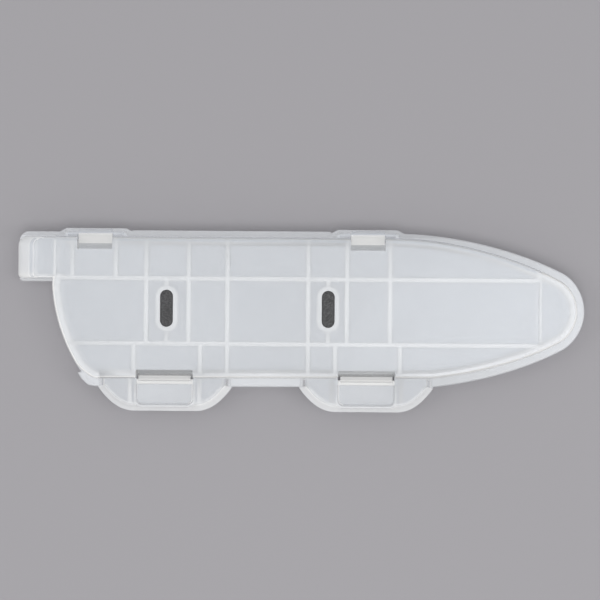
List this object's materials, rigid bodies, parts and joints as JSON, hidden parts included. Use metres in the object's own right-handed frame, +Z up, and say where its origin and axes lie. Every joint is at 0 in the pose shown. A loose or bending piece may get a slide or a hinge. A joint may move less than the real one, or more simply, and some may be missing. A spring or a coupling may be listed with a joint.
{
  "type": "knife blade guard",
  "caption": "Hinged clamshell guard for a chef's knife blade: frosted ribbed half shells with rubber grip pads, snap hinge hooks along the spine and spring latches at the edge.",
  "frame": {"origin": "bottom centre of the closed guard's box, on the back shell's resting face", "axes": "+X along the guard from the neck to the tip, +Y towards the hinged spine side, +Z up out of the front face"},
  "size_m": [0.2995, 0.0966, 0.02],
  "materials": {
    "frosted_shell": "frosted translucent polypropylene",
    "frosted_moulding": "frosted polypropylene, whiter where it is thick",
    "grip_rubber": "matt black soft rubber, fine grained"
  },
  "bodies": {
    "back": {"back_shell": "frosted_shell", "back_rib_grid": "frosted_moulding", "back_pad_socket_left": "frosted_moulding", "back_pad_socket_right": "frosted_moulding", "back_grip_pad_left": "grip_rubber", "back_grip_pad_right": "grip_rubber", "hinge_hook_left": "frosted_moulding", "hinge_hook_right": "frosted_moulding"},
    "front": {"front_shell": "frosted_shell", "front_rib_grid": "frosted_moulding", "front_pad_socket_left": "frosted_moulding", "front_pad_socket_right": "frosted_moulding", "front_grip_pad_left": "grip_rubber", "front_grip_pad_right": "grip_rubber", "hinge_pin_left": "frosted_moulding", "hinge_pin_right": "frosted_moulding", "latch_keeper_left": "frosted_moulding", "latch_keeper_right": "frosted_moulding"},
    "latch_left": {"latch_hook_left": "frosted_moulding"},
    "latch_right": {"latch_hook_right": "frosted_moulding"}
  },
  "joints": [
    {"name": "lid_hinge", "type": "hinge", "parent": "back", "child": "front", "pos_m": [0, 0.0454, 0.0124], "axis": [-1, 0, 0], "range_deg": [0, 140]},
    {"name": "latch_left_flex", "type": "hinge", "parent": "back", "child": "latch_left", "pos_m": [-0.0719, -0.03015, 0.0024], "axis": [-1, 0, 0], "range_deg": [0, 7], "stiffness_Nm_per_rad": 0.1},
    {"name": "latch_right_flex", "type": "hinge", "parent": "back", "child": "latch_right", "pos_m": [0.0346, -0.03015, 0.0024], "axis": [-1, 0, 0], "range_deg": [0, 7], "stiffness_Nm_per_rad": 0.1}
  ]
}
